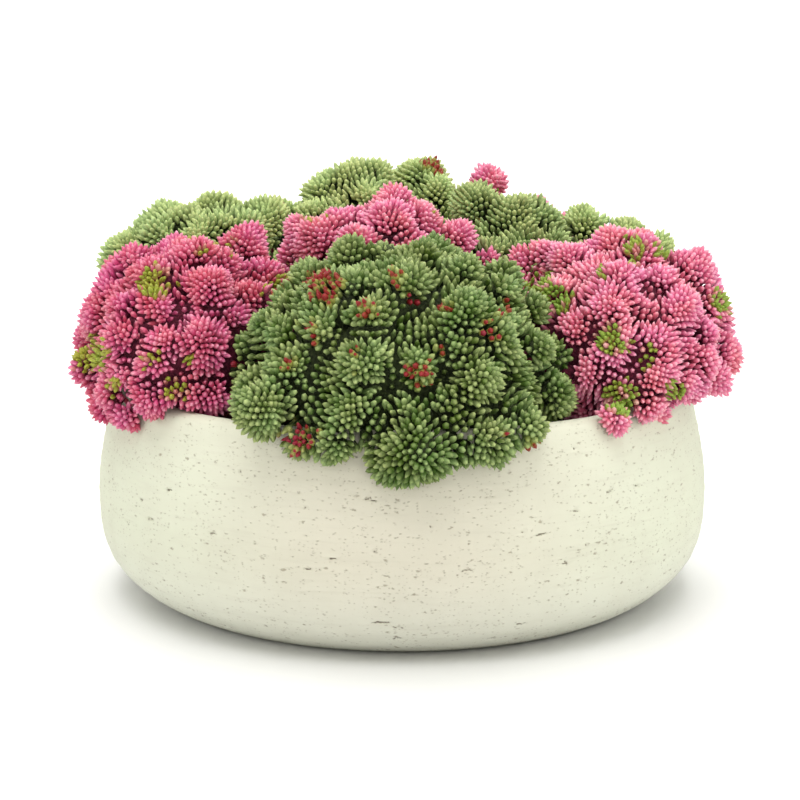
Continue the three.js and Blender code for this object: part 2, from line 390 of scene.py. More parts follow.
def planPits(chance):
    # Each pit as degrees to the right of the front, height, half width and half height in mm, and its
    # share of the depth.
    pits = []
    for angle, height, width in potShape["marks"]:
        for across in np.arange(-0.5, 0.51, 1.9 / width) * width * 0.8:
            turn = angle + math.degrees(across / 1000 / potShape["belly"])
            pits.append((turn, height + 0.35 * chance.normal(), chance.uniform(0.9, 1.5),
                         chance.uniform(0.4, 0.7), chance.uniform(0.7, 1.0)))
    for number in range(potShape["pits"]):
        height = 4 + 90 * chance.random() ** 1.25
        wide = chance.uniform(0.45, 1.0)
        drawn = 0.5 if height < 35 else 0.85  # low pits are drawn out level
        pits.append((360 * chance.random(), height, wide, wide * drawn * chance.uniform(0.7, 1.1),
                     chance.uniform(0.45, 0.9)))
    return pits


def pitDepths(points, pits):
    # How deep each point lies in its pit, from 0 to 1.
    angle = np.degrees(np.arctan2(points[:, 0], -points[:, 1]))
    height = 1000 * points[:, 2]
    depth = np.zeros(len(points))
    for turn, middle, wide, tall, share in pits:
        across = (angle - turn + 180) % 360 - 180
        across = np.radians(across) * 1000 * potShape["belly"] / wide
        away = across ** 2 + ((height - middle) / tall) ** 2
        depth = np.maximum(depth, share * np.clip(1.5 - 1.5 * away, 0, 1))
    depth[np.hypot(points[:, 0], points[:, 1]) < 0.122] = 0
    return depth


def makePot():
    shape = potShape
    pot = turnOutline(potOutline(), shape["sides"], "cementBowl")
    pits = planPits(np.random.default_rng(5))
    turns = [math.radians(turn) for turn, *_ in pits]
    spots = np.array([[math.sin(turn), -math.cos(turn), middle / 1000, wide / 1000]
                      for turn, (_, middle, wide, _, _) in zip(turns, pits)])
    spots[:, :2] *= np.array([potRadius(z) for z in spots[:, 2]])[:, None]

    def nearPit(face):
        middle = face.calc_center_median()
        if middle.xy.length < potRadius(middle.z) - 0.002 or middle.z < 0.002:
            return False
        across = np.hypot(spots[:, 0] - middle.x, spots[:, 1] - middle.y)
        return bool(np.any((across < spots[:, 3] + 0.0018) & (np.abs(spots[:, 2] - middle.z) < 0.0016)))

    startEditing(pot)
    pickFaces(pot, nearPit)
    bpy.ops.mesh.subdivide(number_cuts=3)
    stopEditing()
    depths = pitDepths(readPoints(pot.data), pits)
    hollow = pot.vertex_groups.new(name="pits")
    for index in np.nonzero(depths)[0]:
        hollow.add([int(index)], float(depths[index]), "REPLACE")
    # The depths also set where the pits are painted in shade.
    setAttribute(pot.data, "pit", depths)
    applyModifier(pot, "DISPLACE", strength=-shape["pitDepth"], mid_level=0, vertex_group="pits")
    bpy.ops.object.shade_smooth_by_angle(angle=math.radians(50))
    return pot


cementFinish = {
    # The second colour, for the middle of the bowl from left to right, is painted shade with a tint
    # reflected from the plant.
    "cream": colour(217, 220, 198), "centreShade": colour(216, 211, 192), "streak": colour(200, 196, 177),
    # The colour for the bottom of the bowl is painted light.
    "foot": colour(227, 228, 213),
    # The pits' colours are painted shade in them.
    "pit": colour(158, 148, 126), "deepPitShade": colour(104, 90, 72),
}


def makeCement():
    tree, shader, material = newMaterial("pittedCement")
    finish = cementFinish
    plain = placeNode(tree)
    drawn = placeNode(tree, (1, 1, 1.9))  # pits are wider than tall
    streaked = placeNode(tree, (1, 1, 14))
    across = addNode(tree, "ShaderNodeSeparateXYZ")
    wire(tree, plain, across.inputs[0])
    # Near the middle from left to right the cement takes a darker, warmer colour: painted shade with a tint
    # reflected from the plant.
    drift = times(tree, noise(tree, plain, 9, 2), 0.04)
    side = maths(tree, "ADD", maths(tree, "ABSOLUTE", across.outputs["X"]), drift)
    ground = blendColour(tree, remap(tree, side, 0.035, 0.15), finish["centreShade"], finish["cream"])
    # Towards the bottom the cement is painted lighter: painted light, standing in for light bounced from
    # the floor.
    low = remap(tree, across.outputs["Z"], 0.05, 0.005, 0.0, 0.8)
    ground = blendColour(tree, low, ground, finish["foot"])
    lines = remap(tree, noise(tree, streaked, 36, 4, 0.6), 0.50, 0.78)
    clouds = remap(tree, noise(tree, plain, 45, 3, 0.6), 0.35, 0.75)
    surface = ground
    for mask, share in ((lines, 0.22), (clouds, 0.18)):
        surface = blendColour(tree, times(tree, mask, share), surface, finish["streak"])
    crowd = noise(tree, placeNode(tree, (1, 1, 3)), 22, 3)  # pits stand in crowds

    def pits(scale, size, kept):
        # Cells of a bent grid, some of which hold a pit, as a mask.
        wobble = addNode(tree, "ShaderNodeTexNoise")
        feed(tree, wobble, Vector=drawn, Scale=scale * 2.4, Detail=2.0)
        bend = addNode(tree, "ShaderNodeVectorMath", operation="MULTIPLY_ADD")
        wire(tree, wobble.outputs["Color"], bend.inputs[0])
        bend.inputs[1].default_value = (0.8 / scale,) * 3
        wire(tree, drawn, bend.inputs[2])
        cells = addNode(tree, "ShaderNodeTexVoronoi")
        feed(tree, cells, Vector=bend.outputs[0], Scale=scale)
        split = addNode(tree, "ShaderNodeSeparateColor")
        wire(tree, cells.outputs["Color"], split.inputs[0])
        share = maths(tree, "ADD", times(tree, crowd, 1.3), split.outputs[0])
        there = remap(tree, share, kept, kept + 0.12)
        width = remap(tree, split.outputs[1], 0.0, 1.0, size * 0.5, size * 1.2)
        round_ = maths(tree, "SUBTRACT", 1.0, maths(tree, "DIVIDE", cells.outputs["Distance"], width))
        return times(tree, remap(tree, round_, 0.0, 0.7), there)

    fine = pits(520, 0.35, 1.08)
    mid = pits(230, 0.29, 1.22)
    rough = noise(tree, plain, 900, 3, 0.6)
    edge = maths(tree, "ADD", addNode(tree, "ShaderNodeAttribute", attribute_name="pit").outputs["Fac"],
                 times(tree, maths(tree, "SUBTRACT", rough, 0.5), 1.1))
    deep = remap(tree, edge, 0.30, 0.85)
    # The pits darken the cement: painted shade in them.
    for mask, share, shade in ((fine, 0.5, "pit"), (mid, 0.7, "pit"), (deep, 0.8, "deepPitShade")):
        surface = blendColour(tree, times(tree, mask, share), surface, finish[shade])
    grain = maths(tree, "ADD", times(tree, rough, 0.22), times(tree, lines, 0.3))
    level = maths(tree, "SUBTRACT", grain, times(tree, maths(tree, "MAXIMUM", fine, mid), 1.2))
    feed(tree, shader, Base_Color=surface, Normal=bump(tree, 0.5, 0.0004, level), Specular_IOR_Level=0.25,
         Roughness=remap(tree, noise(tree, plain, 60, 3), 0.3, 0.7, 0.78, 0.92))
    return material


pot = makePot()
pot.data.materials.append(makeCement())
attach(pot, "root")
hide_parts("pot")
print("bowl:", len(pot.data.polygons), "faces")


# The soil

soilShape = {
    "edge": 0.084, "shoulder": (0.070, 0.087), "middle": 0.089, "gap": 0.0003,
    "sides": 132, "step": 0.0024, "lump": 0.0045, "crumb": 0.0022,
}


def makeSoil():
    shape, gap = soilShape, soilShape["gap"]
    low = potShape["floor"] + gap
    wide = potRadius(shape["edge"]) - potShape["wall"] - gap
    bottom = [(0, low), (potShape["floorEdge"] - 2 * gap, low)]
    levels = (0.017, 0.026, 0.042, 0.062, 0.076, shape["edge"])
    side = [(potRadius(z) - potShape["wall"] - gap, z) for z in levels]
    top = []
    for radius in np.arange(wide - 0.001, 0.001, -shape["step"]):
        height = np.interp(radius, [0, shape["shoulder"][0], wide],
                           [shape["middle"], shape["shoulder"][1], shape["edge"]])
        top.append((float(radius), float(height)))
    outline = bottom + side + top + [(0, shape["middle"])]
    soil = turnOutline(outline, shape["sides"], "pottingSoil")
    surface = soil.vertex_groups.new(name="surface")
    surface.add([v.index for v in soil.data.vertices
                 if v.co.z > shape["edge"] - 0.0005 and v.co.xy.length < wide - 0.0008], 1.0, "REPLACE")
    for name, size, depth in (("lumps", 0.011, shape["lump"]), ("crumbs", 0.0035, shape["crumb"])):
        clouds = bpy.data.textures.new(name, "CLOUDS")
        clouds.noise_scale = size
        clouds.noise_depth = 2
        applyModifier(soil, "DISPLACE", texture=clouds, strength=depth, mid_level=0.75,
                      vertex_group="surface")
    pick(soil)
    bpy.ops.object.shade_smooth_by_angle(angle=math.radians(35))
    return soil


def makeEarth():
    tree, shader, material = newMaterial("darkSoil")
    plain = placeNode(tree)
    base = blendColour(tree, remap(tree, noise(tree, plain, 160, 4), 0.35, 0.65),
                       colour(38, 28, 22), colour(74, 56, 42))
    bits = addNode(tree, "ShaderNodeTexVoronoi")
    feed(tree, bits, Vector=plain, Scale=420)
    pale = remap(tree, bits.outputs["Distance"], 0.22, 0.05)
    surface = blendColour(tree, times(tree, pale, 0.5), base, colour(120, 98, 74))
    feed(tree, shader, Base_Color=surface, Normal=bump(tree, 0.8, 0.0008, noise(tree, plain, 520, 5, 0.7)),
         Roughness=remap(tree, noise(tree, plain, 90), 0.3, 0.7, 0.82, 0.98))
    return material


soil = makeSoil()
soil.data.materials.append(makeEarth())
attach(soil, "root")
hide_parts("soil")
print("soil:", len(soil.data.polygons), "faces")


# Where the clusters of buds stand

clusterShape = {
    "size": 13, "pitch": 25, "shift": 3, "room": 6, "lowestInside": 97,
    "edgeReach": 12, "clearance": 0.3, "nearSide": 0.75, "sightStep": 0.001, "bowlHug": 0.5,
    "firstSeed": 11,
}
eye = np.array((0.0, -850.0, 257.0))
aim = np.array((0.0, 0.0, 88.0))

# Heart and reach are a dome's middle and half sizes in mm, inset is how far its skin stands back, bud is
# the size of its buds and lowest is the height above which clusters stand over the rim. A seen cluster's
# row gives how far across and up it stands, and its radius, on the upright plane through the aim.
heads = [
    {"name": "front", "finish": "green", "tone": 0.25, "heart": (0, -84, 112), "reach": (70, 60, 58),
     "inset": 2.2, "bud": 1.04, "seen": [
        (-27, 70, 13), (-8, 73, 12), (10, 71, 11), (30, 64, 12), (48, 64, 12),
        (-40, 58, 11), (-25, 57, 11), (-9, 58, 10), (4, 58, 14), (50, 55, 12), (66, 44, 12),
        (-46, 48, 9), (-60, 33, 12), (-40, 36, 12), (-16, 43, 14), (31, 42, 18), (48, 28, 15),
        (-76, 24, 12), (-56, 16, 15), (-20, 19, 16), (9, 18, 12), (28, 26, 10), (68, 26, 12),
        (-70, -5, 18), (-25, -5, 15), (20, -2, 11), (36, 10, 17), (75, 4, 14),
        (-52, -19, 12), (-33, -23, 12), (8, -26, 20), (42, -20, 15), (64, -13, 13),
        (-45, -8, 10), (-11, -12, 10), (25, -12, 11), (53, -4, 11), (2, -4, 10), (78, -3, 10),
        (-32, -12, 10), (11, -8, 11), (-18, -17, 9), (24, -19, 10), (30, -24, 12), (-6, -30, 12),
        (-68, 36, 11), (-80, 27, 10), (-82, 14, 10),
        (-10, -19, 11), (29, -15, 11), (-42, -16, 9)]},
    {"name": "left", "finish": "pink", "tone": 0.3, "heart": (-98, -38, 118), "reach": (49, 58, 50),
     "inset": 2.5, "bud": 0.92, "seen": [
        (-78, 76, 15), (-104, 71, 14), (-127, 63, 12), (-145, 55, 10), (-88, 68, 10),
        (-66, 58, 14), (-124, 60, 11), (-96, 55, 16), (-151, 45, 11), (-139, 46, 13),
        (-121, 47, 12), (-74, 49, 14), (-154, 38, 10), (-140, 30, 14), (-119, 31, 12),
        (-98, 28, 16), (-157, 21, 11), (-124, 18, 11), (-140, 14, 10), (-156, 12, 8),
        (-146, 4, 10), (-126, 2, 11), (-114, 3, 10), (-94, 2, 12), (-104, 2, 11), (-137, -8, 12),
        (-84, 40, 11), (-80, 10, 11)]},
    {"name": "right", "finish": "pink", "tone": 0.65, "heart": (99, -38, 118), "reach": (49, 58, 50),
     "inset": 2.0, "bud": 0.92, "lowest": 108, "seen": [
        (106, 76, 14), (120, 72, 12), (60, 69, 9), (72, 73, 11), (83, 70, 12), (136, 66, 12),
        (147, 62, 12), (130, 60, 10), (110, 60, 12), (76, 54, 12), (103, 47, 14), (155, 49, 12),
        (138, 45, 13), (86, 36, 12), (107, 27, 14), (151, 33, 10), (126, 28, 12), (149, 21, 10),
        (91, 13, 13), (126, 13, 13), (140, 10, 9), (155, 10, 11), (109, 4, 13),
        (124, -3, 11), (106, -9, 10), (80, 42, 10), (81, 28, 10), (82, 14, 10), (143, 65, 10)]},
    {"name": "middle", "finish": "pink", "tone": 0.6, "heart": (-8, 8, 136), "reach": (47, 42, 44),
     "inset": 2.5, "bud": 0.95, "seen": [
        (-52, 86, 10), (-40, 79, 15), (-31, 89, 12), (-3, 101, 11), (-6, 89, 15), (9, 89, 12),
        (28, 80, 13), (44, 69, 11), (-56, 75, 9)]},
    {"name": "back_left", "finish": "green", "tone": 0.85, "heart": (-100, 50, 118), "reach": (50, 46, 55),
     "seen": [
        (-136, 75, 12), (-124, 82, 11), (-116, 91, 10), (-98, 94, 11), (-87, 92, 10),
        (-109, 86, 10), (-142, 66, 10), (-66, 89, 14), (-118, 80, 12), (-101, 82, 12), (-80, 83, 12),
        (-89, 86, 11), (-120, 86, 9), (-75, 90, 10)]},
    {"name": "back_middle", "finish": "green", "tone": 0.9, "heart": (-30, 74, 142), "reach": (38, 38, 46),
     "seen": [
        (-25, 106, 15), (-38, 104, 11), (-12, 108, 10), (-47, 91, 10), (-17, 100, 12), (-16, 110, 9)]},
    {"name": "back_tall", "finish": "green", "tone": 0.85, "heart": (10, 98, 136), "reach": (30, 40, 54),
     "seen": [(8, 111, 13), (18, 104, 11)]},
    {"name": "back_right", "finish": "green", "tone": 0.55, "heart": (56, 44, 128), "reach": (38, 38, 44),
     "seen": [
        (34, 98, 12), (56, 88, 16), (71, 90, 10), (45, 90, 11), (41, 96, 10)]},
    {"name": "far_right", "finish": "green", "tone": 0.85, "heart": (104, 48, 116), "reach": (44, 46, 46),
     "seen": [(90, 87, 13), (113, 81, 11), (126, 75, 10)]},
    {"name": "rear_right", "finish": "pink", "tone": 0.6, "heart": (66, 98, 126), "reach": (36, 36, 50),
     "inset": 4.0, "seen": [(43, 108, 14)]},
    {"name": "rear_left", "finish": "pink", "tone": 0.45, "heart": (-58, 104, 118), "reach": (42, 36, 44),
     "inset": 2.0},
]

usualHead = {"inset": 1.0, "bud": 1.0, "lowest": 92, "seen": []}
for number, head in enumerate(heads):
    heads[number] = {**usualHead, **head, "heart": np.array(head["heart"], float),
                     "reach": np.array(head["reach"], float)}

goldenAngle = math.pi * (3 - math.sqrt(5))
forward = (aim - eye) / np.linalg.norm(aim - eye)
upward = np.array((0, -forward[2], forward[1]))


def makeRandom(seed):
    # The same list of random numbers as the part's source draws.
    state = [seed]

    def draw():
        state[0] = state[0] * 16807 % 2147483647
        return state[0] / 2147483647
    return draw


def spreadDirections(radius, pitch, turn=0.0):
    count = int(4 * math.pi * radius ** 2 / (math.sqrt(3) / 2 * pitch ** 2) + 0.5)
    number = np.arange(count)
    z = 1 - (2 * number + 1) / count
    ring = np.sqrt(1 - z * z)
    angle = number * goldenAngle + turn
    return np.stack((ring * np.cos(angle), ring * np.sin(angle), z), axis=1)


def lengths(rows):
    return np.sqrt((rows * rows).sum(axis=1))


def bowlRadius(height):
    return 1000 * potRadius(min(height, 1000 * potShape["height"]) / 1000)


def placeSeen(row, heart, reach):
    # Follows the line of sight to the head's dome or to the bowl that it hangs over.
    across, up, size = row
    sight = aim + upward * up - eye
    sight[0] += across
    start = (eye - heart) / reach
    along = sight / reach
    nearest = -start.dot(along) / along.dot(along)
    share = clusterShape["nearSide"]
    while share < nearest:
        place = eye + sight * share
        hug = clusterShape["bowlHug"] * size
        onBowl = (place[2] < 1000 * potShape["height"] + hug
                  and math.hypot(place[0], place[1]) - bowlRadius(place[2]) < hug)
        if onBowl or np.linalg.norm((place - heart) / reach) < 1:
            return place, size * share
        share += clusterShape["sightStep"]
    return eye + sight * nearest, size * nearest


def domeRadius(direction, reach):
    return 1 / np.linalg.norm(direction / reach)


def partingPlanes(head):
    heart, reach = head["heart"], head["reach"]
    planes = []
    for other in heads:
        if other is head:
            continue
        direction = other["heart"] - heart
        apart = np.linalg.norm(direction)
        direction = direction / apart
        mine = domeRadius(direction, reach) + clusterShape["edgeReach"]
        theirs = domeRadius(direction, other["reach"]) + clusterShape["edgeReach"]
        if mine + theirs > apart:
            planes.append((direction, apart * mine / (mine + theirs) - clusterShape["clearance"] / 2))
    return planes


def mayStand(middle, head, planes):
    # True for a place, from the head's heart, that is not low and on the head's side of its neighbours.
    place = middle + head["heart"]
    outside = math.hypot(place[0], place[1]) > 1000 * potShape["rim"]
    low = place[2] < (head["lowest"] if outside else clusterShape["lowestInside"])
    return not (low or any(middle.dot(way) > distance for way, distance in planes))


def placeClusters(head, seed):
    # Each cluster as its middle, its radius and whether it is a seen one.
    draw = makeRandom(seed)
    heart, reach = head["heart"], head["reach"]
    planes = partingPlanes(head)
    clusters = [(*placeSeen(row, heart, reach), True) for row in head["seen"]]
    seen = list(clusters)
    shift = clusterShape["shift"]
    for direction in spreadDirections(reach.mean(), clusterShape["pitch"], 2 * math.pi * draw()):
        middle = direction * reach + shift * (2 * np.array((draw(), draw(), draw())) - 1)
        size = clusterShape["size"] * (0.85 + 0.3 * draw())
        place = middle + heart
        taken = any(np.linalg.norm(at - place) < radius + clusterShape["room"] for at, radius, _ in seen)
        if mayStand(middle, head, planes) and not taken:
            clusters.append((place, size, False))
    return clusters


fillShape = {"try": 7, "apart": 17, "cover": -1.5, "depth": 0.85, "size": 12}  # deeper clusters, in mm


def fillBetween(head, chance):
    # Where no cluster covers the dome, a smaller one stands deeper in it.
    heart, reach = head["heart"], head["reach"]
    planes = partingPlanes(head)
    others = np.array([(*at, size) for other in heads for at, size, _ in other["clusters"]])
    fills = []
    for direction in chance.permutation(spreadDirections(reach.mean(), fillShape["try"])):
        middle = direction * reach * fillShape["depth"]
        place, skin = heart + middle, heart + direction * reach
        covered = (lengths(others[:, :3] - skin) < others[:, 3] - fillShape["cover"]).any()
        crowded = any(np.linalg.norm(at - place) < fillShape["apart"] for at, _, _ in fills)
        if mayStand(middle, head, planes) and not (covered or crowded):
            fills.append((place, fillShape["size"] * chance.uniform(0.85, 1.15), False))
    return fills


for number, head in enumerate(heads):
    head["clusters"] = placeClusters(head, clusterShape["firstSeed"] + number)
for number, head in enumerate(heads):
    head["fills"] = fillBetween(head, np.random.default_rng(50 + number))
for head in heads:
    head["clusters"] += head["fills"]
print("clusters:", sum(len(head["clusters"]) for head in heads),
      "of them deeper:", sum(len(head["fills"]) for head in heads))


# Buds

budShapes = {  # radius and depth below the tip of each ring, in mm, and the depth of the stalk's foot
    "plumpBud": {"rings": [(0.82, 1.15), (1.50, 3.4), (0.64, 6.8)], "foot": 11.5},
    "slimBud": {"rings": [(0.66, 1.3), (1.36, 3.9), (0.54, 7.6)], "foot": 12.5},
    "bluntBud": {"rings": [(0.94, 1.0), (1.58, 3.0), (0.66, 6.3)], "foot": 11.0},
}
budSides = 5  # as a closed bud has petals


def makeBud(name, shape):
    rings = [(radius / 1000, -depth / 1000) for radius, depth in shape["rings"]][::-1]
    foot = -shape["foot"] / 1000
    bpy.ops.mesh.primitive_circle_add(vertices=budSides, radius=rings[0][0], fill_type="NGON",
                                      location=(0, 0, rings[0][1]))
    bud = settle(bpy.context.object, name)
    startEditing(bud)
    pickAll()
    raiseRings(rings)
    pushOut((0, 0, -rings[-1][1]))
    bpy.ops.mesh.merge(type="CENTER")
    pickFaces(bud, lambda face: len(face.verts) == budSides)
    pushOut((0, 0, foot - rings[0][1]))
    bpy.ops.mesh.merge(type="CENTER")
    finishShell()
    bpy.ops.object.shade_smooth()
    setAttribute(bud.data, "rise", 1 - readPoints(bud.data)[:, 2] / foot)
    setEven(bud.data, tone=0, flush=0)
    return bud


def makeCore():
    # A ball inside a cluster, where its stalks crowd; its dark colour is painted shade.
    bpy.ops.mesh.primitive_ico_sphere_add(subdivisions=2, radius=1)
    core = bpy.context.object
    startEditing(core, "VERT")
    pickAll()
    bpy.ops.transform.vertex_random(offset=0.07, seed=2)
    stopEditing()
    bpy.ops.object.shade_smooth()
    core.name = "clusterCore"
    setEven(core.data, rise=0, tone=0, flush=0)
    return core


budModels = [makeBud(name, shape) for name, shape in budShapes.items()]
coreModel = makeCore()

budPlan = {
    "pitch": 3.1, "infill": 1.8, "closest": 2.5,  # from bud to bud, in mm
    "evenings": 4, "evenReach": 4.2, "evenStep": 0.35,  # how buds move apart along the skin
    "merge": 3.2,  # how far neighbouring clusters run into one another
    "turnMerge": 1.8,  # the same for the way in which their buds point
    "outward": 0.15, "lift": 0.06,  # how far the buds turn away from the head's heart, and up
    "rise": 0.45, "sway": 0.07,  # how far a bud is off its even height and direction
    "waves": 14, "waveLength": (11, 30), "waveHeight": 0.42,  # the skin's bulges and hollows
    "waveTurn": 0.6,  # how far the buds follow their slopes
    "floorShare": 1.0, "coreShare": 0.8,  # sizes of the dome that the hollows end on and of the one inside
    "underside": 90,  # the height at which that dome ends
    "coreDepth": 5.6, "leastCore": 0.55,  # how far below the tips a cluster's dark core, which is painted shade, ends
    "found": 1,  # how far off the skin a bud may start
    "strange": 0.6,  # how deep a tip may be in another head
    "border": 3.5,  # the same while the buds still move apart
    "tones": (0.16, 0.5),  # how much the shade varies from cluster to cluster and from bud to bud
    "width": (0.9, 0.2), "length": (0.88, 0.26),  # a bud's least size and how much is added by chance
    "coreFloor": 0.0905, "coreWidth": 0.129,  # where a head's core is cut off, and its radius in the bowl
}

# Patches of another colour, each as across, up and radius as for the clusters, and how strong
flushSpots = {
    "pink": [
        (-123, 60, 9, 1.0), (-99, 76, 4, 0.9), (-158, 23, 9, 0.9), (-145, 6, 5, 0.9), (-114, 5, 7, 0.9),
        (-126, 20, 6, 0.5), (-108, 18, 4, 0.5), (-64, 55, 6, 0.6), (-57, 62, 5, 0.5), (-83, 78, 5, 0.5),
        (69, 58, 7, 1.0), (78, 52, 7, 1.0), (116, 77, 7, 0.7), (162, 50, 8, 0.9), (103, 31, 8, 1.0),
        (119, 24, 8, 0.4), (109, 3, 9, 0.9), (137, 4, 5, 0.9), (99, 65, 3, 0.5), (131, 78, 6, 0.5),
        (22, 100, 6, 0.35), (-45, 95, 6, 0.3), (44, 102, 5, 0.3),
    ],
    "green": [
        (-40, 58, 9, 1.0), (-56, 19, 5, 0.9), (-86, 20, 3, 0.9), (-52, -19, 9, 1.0), (-18, 46, 6, 0.8),
        (-25, 27, 3, 0.8), (-25, 14, 3, 0.8), (-48, 40, 5, 0.6), (-45, 30, 3, 0.7), (-3, 63, 5, 0.9),
        (5, 50, 4, 0.9), (8, 14, 8, 0.6), (17, 24, 4, 0.8), (9, -4, 2, 0.9), (46, 35, 5, 0.6),
        (16, 120, 6, 0.8), (65, -24, 4, 0.9), (52, -17, 2, 0.9), (20, 48, 4, 0.6), (50, 48, 5, 0.4),
    ],
}


# Every cluster and core as a ball that hides what is behind it: its middle and radius
allBalls = np.array(
    [(*at, 0.86 * size) for head in heads for at, size, _ in head["clusters"]]
    + [(*head["heart"], budPlan["coreShare"] * min(head["reach"])) for head in heads])


def unit(rows):
    return rows / np.sqrt((rows * rows).sum(axis=-1, keepdims=True))


def randomTurn(chance):
    # A rotation that may be any, as a 3 by 3 matrix.
    turned, _ = np.linalg.qr(chance.normal(size=(3, 3)))
    return turned * np.linalg.det(turned)


def asSeen(places):
    # Where places stand on the upright plane through the aim, as the eye sees them.
    sight = places - eye
    sight = sight * ((aim - eye).dot(forward) / sight.dot(forward))[:, None]
    return np.stack((sight[:, 0], (sight - (aim - eye)).dot(upward)), axis=1)


flushPlan = {
    "edge": (2.4, 1.9), "hiddenEdge": (1.5, 7),  # how a patch fades from its middle outward
    "hidden": 150,  # there is a patch for each so many buds that the eye doesn't see
    "full": 0.9, "some": 1.3, "faint": 0.25,  # shares of a patch's buds, and the faint ones' strength
}


def flushOf(tips, head, chance):
    # How far each bud takes the patches' colour: those on the eye's side are placed, the others drawn.
    toEye = (tips - head["heart"]) @ (eye - head["heart"]) > 0
    strength = np.zeros(len(tips))
    spots = asSeen(tips)
    most, fade = flushPlan["edge"]
    for across, up, radius, share in flushSpots[head["finish"]]:
        away = np.hypot(spots[:, 0] - across, spots[:, 1] - up) / radius
        here = share * np.clip(most - fade * away, 0, 1)
        strength = np.where(toEye, np.maximum(strength, here), strength)
    far = tips[~toEye]
    most, reach = flushPlan["hiddenEdge"]
    for spot in far[chance.integers(len(far), size=len(far) // flushPlan["hidden"])] if len(far) else []:
        strength = np.where(toEye, strength, np.maximum(strength, most - lengths(tips - spot) / reach))
    draw = chance.random(len(tips))
    full = chance.uniform(0.5, 1.0, len(tips)) * np.clip(0.5 + strength, 0, 1)
    some = np.where(draw < flushPlan["some"] * strength, flushPlan["faint"], 0)
    return np.where(draw < flushPlan["full"] * strength, full, some)


def skinOf(points, head, merge, balls=None):
    # How far points are outside the skin that runs over a head's clusters and dome, and which way is out.
    if balls is None:
        balls = head["balls"]
    apart = points[:, None, :] - balls[None, :, :3]
    away = np.sqrt((apart ** 2).sum(axis=2))
    middle = points - head["heart"]
    reach = np.tile(budPlan["floorShare"] * head["reach"], (len(points), 1))
    reach[middle[:, 2] < 0, 2] = head["heart"][2] - budPlan["underside"]
    scaled = np.sqrt(((middle / reach) ** 2).sum(axis=1))
    overDome = lengths(middle) * (1 - 1 / scaled)
    gaps = np.column_stack((away - balls[:, 3], overDome))
    ways = np.concatenate((apart / away[:, :, None], unit(middle / reach ** 2)[:, None, :]), axis=1)
    nearest = gaps.min(axis=1)
    shares = np.exp((nearest[:, None] - gaps) / merge)
    outside = nearest - merge * np.log(shares.sum(axis=1)) + head["inset"]
    return outside, unit((ways * shares[:, :, None]).sum(axis=1))


for head in heads:
    head["balls"] = np.array([(*at, size) for at, size, _ in head["clusters"]])


def makeWaves():
    # Plane waves of all directions that together make the skin uneven.
    chance = np.random.default_rng(21)
    ways = unit(chance.normal(size=(budPlan["waves"], 3)))
    steps = 2 * math.pi / chance.uniform(*budPlan["waveLength"], budPlan["waves"])
    return ways * steps[:, None], 2 * math.pi * chance.random(budPlan["waves"])


waves = makeWaves()


def unevenness(points):
    return budPlan["waveHeight"] * np.sin(points @ waves[0].T + waves[1]).sum(axis=1)


def slopes(points):
    steep = budPlan["waveHeight"] * np.cos(points @ waves[0].T + waves[1])
    return steep @ waves[0]


bowlRoom = {"side": 0.2, "wall": 9.5, "rim": 0.3, "soil": 88}  # what buds keep clear of, in mm


def insideBowl(places):
    # True for places in the bowl's wall or in its soil.
    out = np.hypot(places[:, 0], places[:, 1]) - np.array([bowlRadius(max(z, 0)) for z in places[:, 2]])
    inSide = out < bowlRoom["side"]
    inWall = (out > -bowlRoom["wall"]) & (places[:, 2] < 1000 * potShape["height"] + bowlRoom["rim"])
    return inSide & (inWall | (places[:, 2] < bowlRoom["soil"]))


skyWays = spreadDirections(1.0, 0.3)
skyWays = skyWays[skyWays[:, 2] > -0.25]


def showsOutside(tips):
    # True for a tip from which some ways out pass no cluster and no head's core.
    shown = np.zeros(len(tips), bool)
    for start in range(0, len(tips), 100):
        some = tips[start:start + 100]
        middle = some.mean(axis=0)
        balls = allBalls[lengths(allBalls[:, :3] - middle) < 90 + lengths(some - middle).max()]
        apart = balls[None, :, :3] - some[:, None, :]
        along = apart @ skyWays.T
        missed = (apart ** 2).sum(axis=2)[:, :, None] - along ** 2
        blocked = (along > 0) & (missed < (balls[:, 3] ** 2)[None, :, None])
        shown[start:start + 100] = ~blocked.any(axis=1).all(axis=1)
    return shown


def ontoSkin(tips, head, balls=None, steps=5):
    # Takes places along the skin's own way out onto it, and tells how far off they still were.
    for step in range(steps):
        outside, out = skinOf(tips, head, budPlan["merge"], balls)
        off = outside - unevenness(tips)
        tips = tips - out * np.clip(off, -3, 3)[:, None]
    return tips, out, off


def inTheOpen(tips, head, strangers, depth):
    # True for tips that are in no head's core, no deeper than that in other heads and not in the bowl.
    kept = ~insideBowl(tips)
    for other in heads:
        core = other["reach"] * budPlan["coreShare"]
        kept &= lengths((tips - other["heart"]) / core) > 1
    for other in strangers:
        some = np.nonzero(kept)[0]
        if len(some):
            outside, _ = skinOf(tips[some], other, budPlan["merge"])
            kept[some] = outside - unevenness(tips[some]) > -depth
    return kept


def spaceOut(tips, taken, closest):
    # Those of the tips that stand clear of those taken and of one another.
    kept = []
    for number, tip in enumerate(tips):
        if not len(taken) or ((taken - tip) ** 2).sum(axis=1).min() > closest ** 2:
            taken = np.vstack((taken, tip))
            kept.append(number)
    return tips[kept]


